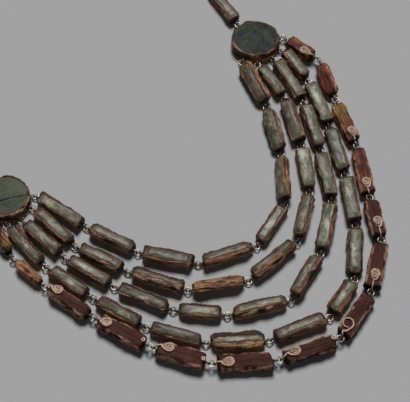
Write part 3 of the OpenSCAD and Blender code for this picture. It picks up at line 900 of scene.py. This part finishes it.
RESIN = resin_material(
    "resin", ((54, 36, 24), (116, 80, 55), (144, 104, 75), (196, 158, 130)),
    rust=(168, 100, 57), golden=(152, 109, 66), gloss=0.4, even=0.0)
RESIN_BACK = resin_material(
    "resin_back", ((32, 15, 13), (70, 37, 33), (98, 55, 47), (188, 148, 122)),
    rust=(136, 78, 60), golden=(142, 110, 56), gloss=0.1, even=0.7)
GLASS = glass_material(
    "mirror_glass", ((62, 48, 37), (86, 78, 63), (107, 106, 88), (133, 135, 115), (188, 190, 166)),
    coat=0.18, specular=0.25)
DISC_GLASS = glass_material(
    "medallion_glass", ((26, 30, 24), (35, 41, 32), (45, 52, 41), (60, 68, 54), (86, 95, 78)),
    coat=0.03, specular=0.08)
SILVER = wire_material("silver_wire", linear(196, 187, 168), linear(92, 84, 70), 0.32, 0.75)
COIL = wire_material("coil_wire", linear(226, 194, 168), linear(186, 142, 116), 0.4, 0.0)


# Strands

# Taper of the bars that aren't named in TAPERS
LEAST_TAPER = (0.05, 0.05)
FIRST_BACK_UP = 2


def build_strand(name, index, turn, gap_after=None):
    """Builds the bars, their glass and eyes and the rings of a strand, and gives back its bars."""
    bars = bars_of(name, turn, gap_after)
    bodies, slips, eyes, rings = Skins(), Skins(), Skins(), Skins()
    outermost = name == STRANDS[-1]
    for bar, look in zip(bars, LOOKS[name]):
        seed = index * 100 + bar.index * 17 + 3
        taper = TAPERS[name].get(bar.index, LEAST_TAPER)
        bar_body(bodies, bar, seed, look, taper, outermost and bar.index >= FIRST_BACK_UP)
        bar_glass(slips, bar, seed, look, taper)
        bar_eyes(eyes, bar)
    for k, points in enumerate(in_order(solids(name + "_rings"), turn)):
        ring(rings, points, index * 50 + k)
    resin, slot = (RESIN_BACK, "resin_back") if outermost else (RESIN, "resin")
    make_piece(name + "_bodies", bodies, resin, slot, name + "_bars")
    make_piece(name + "_eyes", eyes, SILVER, "silver_wire", name + "_bars")
    make_piece(name + "_slips", slips, GLASS, "mirror_glass", name + "_glass")
    make_piece(name + "_jump_rings", rings, SILVER, "silver_wire", name + "_rings")
    return bars


# Teardrop coils

COIL_RADIUS, COIL_WIRE = 2.4, 0.32
# Turns of a coil, share by which it closes in, size. The coil of one bar is an open loop instead.
COIL_SHAPE = (2.4, 0.86, 1)
OPEN_SHAPE = (1.12, 0.3, 1.2)
OPEN_COIL = 7
# Tip of a coil: reach as a share of its radius, width in radians
TEAR, TEAR_WIDTH = 0.62, 0.6
# Height of a coil and its stem over the flat back, and how far past the bar the stem starts
COIL_UP, STEM_UP, STEM_PAST = -0.42, -0.35, 1.4
# Plate behind a coil from its middle outwards: share of its radius, height over the flat back
PLATE = [(0.02, -0.3), (0.3, -0.3), (0.6, -0.28), (0.85, -0.24), (1.0, -0.2), (1.0, -0.02)]
# Bars of the outermost strand with a small loop at their far end, and its place across them
END_LOOPS = {3: -0.6, 4: -0.4, 6: -1.0}
END_LOOP_RADIUS, END_LOOP_WIRE = 0.6, 0.38


def tear(angle):
    """Share by which a coil's outline reaches out towards the start of its bar."""
    off = angle % (2 * math.pi) - math.pi
    return 1 + TEAR * np.exp(-(off / TEAR_WIDTH) ** 2)


def coil(skins, bar, x, y, seed):
    """Flat spiral of wire on a bar's back, with a stem from its start and a plate below."""
    turns, inward, size = OPEN_SHAPE if bar.index == OPEN_COIL else COIL_SHAPE
    turn = np.linspace(0, 1, 90)
    angle = math.pi - turn * turns * 2 * math.pi
    radius = (COIL_RADIUS * size - COIL_WIRE) * (1 - turn * inward)
    radius = radius * (1 + (tear(angle) - 1) * (1 - turn) ** 1.2)
    spiral = polar((x, y), radius, angle, COIL_UP)
    share = np.linspace(0, 1, 12)
    start = -bar.half - STEM_PAST
    stem = stacked(start + share * (spiral[0, 0] - 0.3 - start), y * share,
                   STEM_UP + 2.0 * (1 - smooth(share, 0, 0.5)) ** 2)
    path = np.concatenate([stem, spiral])
    steps = np.arange(len(path)) * 0.3
    thick = COIL_WIRE * (1 + 0.12 * noise(steps, steps * 0, seed))
    thick[len(stem):] *= 1.3 - 0.65 * turn
    tube(skins, bar.world(path), thick)
    if bar.index != OPEN_COIL:
        coil_plate(skins, bar, x, y)


def coil_plate(skins, bar, x, y):
    """Thin plate below a coil, in the same outline."""
    angle = even_turns(40)
    shares, heights = np.array(PLATE).T[:, :, None]
    points = bar.world(polar((x, y), shares * (COIL_RADIUS - 0.3) * tear(angle), angle, heights))
    skins.add(points, points, (1, 0, 0), caps=False)


def build_coils(bars):
    skins = Skins()
    for solid in solids("strand_5_coils"):
        bar = min(bars, key=lambda b: np.linalg.norm(middle(solid) - b.origin))
        local = bar.local(solid)
        y = (local[:, 1].min() + local[:, 1].max()) / 2
        coil(skins, bar, local[:, 0].max() - COIL_RADIUS, y, bar.index + 40)
    for index, across in END_LOOPS.items():
        bar = bars[index]
        at = bar.world(np.array([bar.half - 0.5, across, -0.25]))
        loop(skins, at, bar.along, bar.across, END_LOOP_RADIUS, END_LOOP_WIRE, 20)
    make_piece("teardrop_coils", skins, COIL, "coil_wire", "strand_5_coils")


# Medallions

CUP_ROWS, CUP_AROUND = 64, 190
# Outside of a cup from the middle of its foot over its rim to the glass: share of its radius, height
CUP_PROFILE = [(0.0, 0.02), (0.6, 0.02), (0.9, 0.03), (0.965, 0.35), (1.0, 0.9), (0.985, 1.5), (0.99, 1.9),
               (1.01, 2.4), (0.985, 3.0), (0.985, 3.5), (1.0, 4.1), (0.99, 4.7), (0.97, 5.1), (0.945, 5.25),
               (0.925, 5.2), (0.912, 4.9), (0.9, 4.3)]
# Waves of the lumps round a cup, and how far lumps, ridges and fine marks stand out
CUP_WAVES = 3.2
CUP_LUMPS, CUP_RIDGES, CUP_FINE = 0.26, 0.3, 0.2
# How far its wall is set in to leave room for them, and how far its layers sway
CUP_INSET, CUP_SWAY = 0.28, 0.45
# Share of the radius by which it bulges low down, away from the photograph's top
CUP_FOOT = 0.065
CUP_RUST, CUP_OCHRE = 0.1, 0.3

DISC_ROWS, DISC_AROUND = 34, 120
# Glass: share of the cup's radius, what it adds towards the photograph's top, and raggedness of its edge
DISC_SHARE, DISC_WIDER, DISC_RAGGED = 0.925, 0.02, 0.016
# How far its edge lies under the cup's rim, and how much of the solid's dome it keeps
DISC_SUNK, DISC_DOME = 0.2, 0.9
MEDALLION_STALK = 0.9


def towards_top(angle):
    """How far a direction about a medallion points to the photograph's top, from -1 to 1."""
    return np.cos(angle) * AWAY[0] + np.sin(angle) * AWAY[1]


def cup_outline(angle, seed):
    """Share by which the radius of a cup and its glass differs from a circle."""
    x, y = np.cos(angle) * 1.3, np.sin(angle) * 1.3
    return 1.0 + 0.036 * noise(x, y, seed + 20) + 0.03 * noise(x * 2.6, y * 2.6, seed + 21)


def medallion(side, seed):
    """Lumpy cup with its wall laid up in three uneven layers. Gives back its centre and radius."""
    low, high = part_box(f"medallion_{side}_glass")
    centre = (np.array(low) + np.array(high)) / 2 / MM
    radius = (high[0] - low[0]) / 2 / MM + RIM_WIDTH + GLASS_GAP
    profile = np.array(CUP_PROFILE)
    rows = np.linspace(0, len(profile) - 1, CUP_ROWS)
    shares, heights = (np.interp(rows, range(len(profile)), profile[:, k]) for k in (0, 1))
    run = np.cumsum(np.hypot(np.diff(shares * radius, prepend=0), np.diff(heights, prepend=0)))
    shares, heights, run = shares[:, None], heights[:, None], run[:, None]
    angle = np.broadcast_to(even_turns(CUP_AROUND), (CUP_ROWS, CUP_AROUND))
    v = run + angle * 0
    x, y = np.cos(angle) * CUP_WAVES, np.sin(angle) * CUP_WAVES
    lumps = noise(x + v * 0.25, y + v * 0.1, seed)
    ridges = np.maximum(1 - 2.4 * np.abs(noise(x * 0.8 + v * 0.6, y * 0.8 - v * 0.35, seed + 1)), -1)
    fine = noise(x * 2.6, y * 2.6 + v * 0.9, seed + 2)
    top = towards_top(angle)
    foot = CUP_FOOT * smooth(heights, 0.1, 0.9) * smooth(-heights, -3.4, -1.6) * smooth(-top, 0.0, 0.7)
    reach = (shares + foot) * radius * cup_outline(angle, seed)
    marks = CUP_LUMPS * lumps + CUP_RIDGES * ridges + CUP_FINE * fine - CUP_INSET
    reach = reach + marks * smooth(shares, 0.5, 0.9)
    swaying = smooth(heights, 0.4, 2) * smooth(-heights, -5, -3)
    lift = heights + CUP_SWAY * noise(x * 0.5, y * 0.5, seed + 3) * swaying
    lift = lift + (0.14 * lumps + 0.12 * fine) * smooth(heights, 3.5, 5)
    points = polar(centre, reach, angle, lift)
    groove = smooth(-shares, -0.992, -0.984) * smooth(heights, 0.9, 1.2) * smooth(-heights, -3.8, -3.5)
    inner = smooth(-shares, -0.93, -0.90) * (heights > 4)
    # Tone: paler on the side away from the photograph's top and darker towards it, painted light and shade,
    # and paler on ridges, fine marks and lumps, partly painted highlight
    height = np.clip(0.34 - 0.3 * top + 0.5 * ridges + 0.34 * fine + 0.4 * lumps, 0, 1.1)
    # Stain and painted shade: painted shade in the set-in grooves of the wall and on the rim towards the
    # photograph's top, and darker on the inner wall beside the glass
    stain_and_shade = np.maximum(np.maximum(groove * 0.9, inner), smooth(top + 0.45 * lumps, -0.25, 0.45))
    cup = Skins()
    cup.add(points, stacked(angle * radius, v, seed * SEED_SHIFT), stacked(height, stain_and_shade, CUP_RUST),
            (CUP_OCHRE, 0, 0), caps=False)
    make_piece(f"medallion_{side}_cup", cup, RESIN, "resin", f"medallion_{side}_setting")
    return centre, radius


def medallion_disc(side, centre, radius, crease, tone, warmth, seed):
    """Domed glass with a faint crease along the line given by its angle, offset and depth."""
    shares = np.linspace(0.01, 1, DISC_ROWS)[:, None] ** 0.9
    angle = np.broadcast_to(even_turns(DISC_AROUND), (DISC_ROWS, DISC_AROUND))
    ragged = DISC_RAGGED * noise(np.cos(angle) * 6, np.sin(angle) * 6, seed + 7)
    share = DISC_SHARE + DISC_WIDER * smooth(towards_top(angle), -0.2, 0.6) + ragged
    edge = radius * share * cup_outline(angle, seed)
    r = shares * edge
    x, y = r * np.cos(angle), r * np.sin(angle)
    turn, offset, depth = crease
    across = x * math.cos(turn) + y * math.sin(turn) - offset
    across = across + 0.9 * noise(x * 0.2, y * 0.2, seed)
    bend = -depth * smooth(np.abs(across), 3, 0) / radius - 0.08 * np.exp(-(across / 0.35) ** 2)
    waves = 0.13 * noise(x * 0.25, y * 0.25, seed + 1) + 0.05 * noise(x * 0.7, y * 0.7, seed + 4)
    dome = MEDALLION_DOME * (1 - shares ** 2.2)
    z = MEDALLION_HEIGHT - DISC_SUNK + dome * DISC_DOME + (bend + waves) * (1 - shares ** 4)
    z = np.minimum(z, MEDALLION_HEIGHT - GLASS_GAP + MEDALLION_DOME + 0.05)
    # Painted shade along the crease, and painted reflection that makes the glass lighter on one side of it
    # than on the other
    line = 0.7273 * depth * np.exp(-(across / 0.4) ** 2)
    light = tone + 0.6 * noise(x * 0.2, y * 0.2, seed + 2) - line + 0.16 * np.sign(across)
    hue = warmth + 0.5 * noise(x * 0.22 + 9, y * 0.22, seed + 6)
    disc = Skins()
    disc.add(stacked(centre[0] + x, centre[1] + y, z), stacked(x, y, seed * 0.7),
             stacked(edge - r - 0.25, light, hue), caps=False)
    make_piece(f"medallion_{side}_disc", disc, DISC_GLASS, "mirror_glass", f"medallion_{side}_glass")


def medallion_eyes(side, centre, rings):
    skins = Skins()
    for at in rings:
        direction = unit((at - centre) * (1, 1, 0))
        eye(skins, at - direction * RING_RADIUS, direction, MEDALLION_STALK)
    make_piece(f"medallion_{side}_eyes", skins, SILVER, "silver_wire", f"medallion_{side}_setting")


# Hook clasp

SHANK_POINTS, SHANK_TURNS = 60, 9
SHANK_OFFSET, SHANK_WIRE = 0.3, 0.36
HOOK_TURN = math.radians(290)


def build_clasp(start, end):
    """Twisted shank between an eye at the ring start and an open hook at the ring end."""
    skins = Skins()
    direction = unit(end - start)
    side = np.cross(direction, UP)
    eye_at = start + direction * RING_RADIUS
    hook_at = end - direction * RING_RADIUS
    loop(skins, eye_at, direction, UP, EYE_RADIUS, WIRE_RADIUS)
    share = np.linspace(0, 1, SHANK_POINTS)
    length = np.linalg.norm(hook_at - eye_at) - 2 * EYE_RADIUS
    for turn in (0, math.pi):
        angle = turn + share * SHANK_TURNS * 2 * math.pi
        offset = SHANK_OFFSET * (np.cos(angle)[:, None] * UP + np.sin(angle)[:, None] * side)
        path = eye_at + direction * (EYE_RADIUS + share * length)[:, None] + offset
        tube(skins, path, SHANK_WIRE)
    tube(skins, arc(hook_at, -direction, UP, EYE_RADIUS, 0, HOOK_TURN, 26), WIRE_RADIUS)
    make_piece("hook_clasp", skins, SILVER, "silver_wire", "clasp")


# The necklace

# Ring of the neck strand after which the clasp takes the place of a bar
CLASP_AFTER = 5

ALL_BARS = {}
for i, strand in enumerate(STRANDS):
    ALL_BARS[strand] = build_strand(strand, i + 1, math.pi)
ALL_BARS["neck"] = build_strand("neck", len(STRANDS) + 1, 0.0, CLASP_AFTER)
build_coils(ALL_BARS["strand_5"])

NECK = ALL_BARS["neck"]
LEFT_RINGS = [ALL_BARS[s][0].p for s in STRANDS] + [NECK[-1].q]
RIGHT_RINGS = [ALL_BARS[s][-1].q for s in STRANDS] + [NECK[0].p]
for side, rings, crease, tone, warmth, seed in (
        ("left", LEFT_RINGS, (math.radians(70), -2.7, 2.2), 1.32, 0.05, 71),
        ("right", RIGHT_RINGS, (math.radians(110), 1.5, 0.8), 0.24, -0.1, 83)):
    centre, radius = medallion(side, seed)
    medallion_disc(side, centre, radius, crease, tone, warmth, seed)
    medallion_eyes(side, centre, rings)
build_clasp(NECK[CLASP_AFTER - 1].q, NECK[CLASP_AFTER].p)


# Floor, light and camera

FLOOR_SIDE = 4000
# Suns: name, azimuth from the photograph's top towards its right, elevation, strength, width
SUNS = [("key", 2, 56, 2.6, 21), ("fill", 180, 38, 0.11, 60)]
WORLD_LIGHT = 0.012
# Camera
TARGET, ELEVATION, DISTANCE, LENS, SENSOR = (-3.9, -39.6, 0), math.radians(60), 430, 84, 36


def stage():
    bpy.ops.mesh.primitive_plane_add(size=FLOOR_SIDE * MM)
    floor = bpy.context.object
    floor.name = "floor"
    floor.data.materials.append(floor_material())


def sun(name, azimuth, elevation, strength, width):
    lamp = bpy.data.lights.new(name, "SUN")
    lamp.energy = strength
    lamp.angle = math.radians(width)
    made = new_object(name, lamp)
    a, e = math.radians(azimuth), math.radians(elevation)
    towards = (AWAY * math.cos(a) + RIGHT * math.sin(a)) * math.cos(e) + UP * math.sin(e)
    made.rotation_mode = "QUATERNION"
    made.rotation_quaternion = Vector(towards).to_track_quat("Z", "Y")


def world():
    made = bpy.data.worlds.new("studio")
    bpy.context.scene.world = made
    made.use_nodes = True
    background = made.node_tree.nodes["Background"]
    background.inputs["Color"].default_value = (1, 1, 1, 1)
    background.inputs["Strength"].default_value = WORLD_LIGHT


def camera():
    """Looks down on the middle of the photograph with the photograph's top up."""
    back = Vector(UP * math.sin(ELEVATION) - AWAY * math.cos(ELEVATION))
    right = Vector(RIGHT)
    data = bpy.data.cameras.new("camera")
    data.lens = LENS
    data.sensor_width = SENSOR
    data.clip_start = 0.01
    made = new_object("camera", data)
    turn = Matrix((right, back.cross(right), back)).transposed().to_4x4()
    made.matrix_world = Matrix.Translation(Vector(TARGET) * MM + back * DISTANCE * MM) @ turn
    bpy.context.scene.camera = made


stage()
for row in SUNS:
    sun(*row)
world()
camera()
bpy.context.scene.view_settings.view_transform = "Standard"
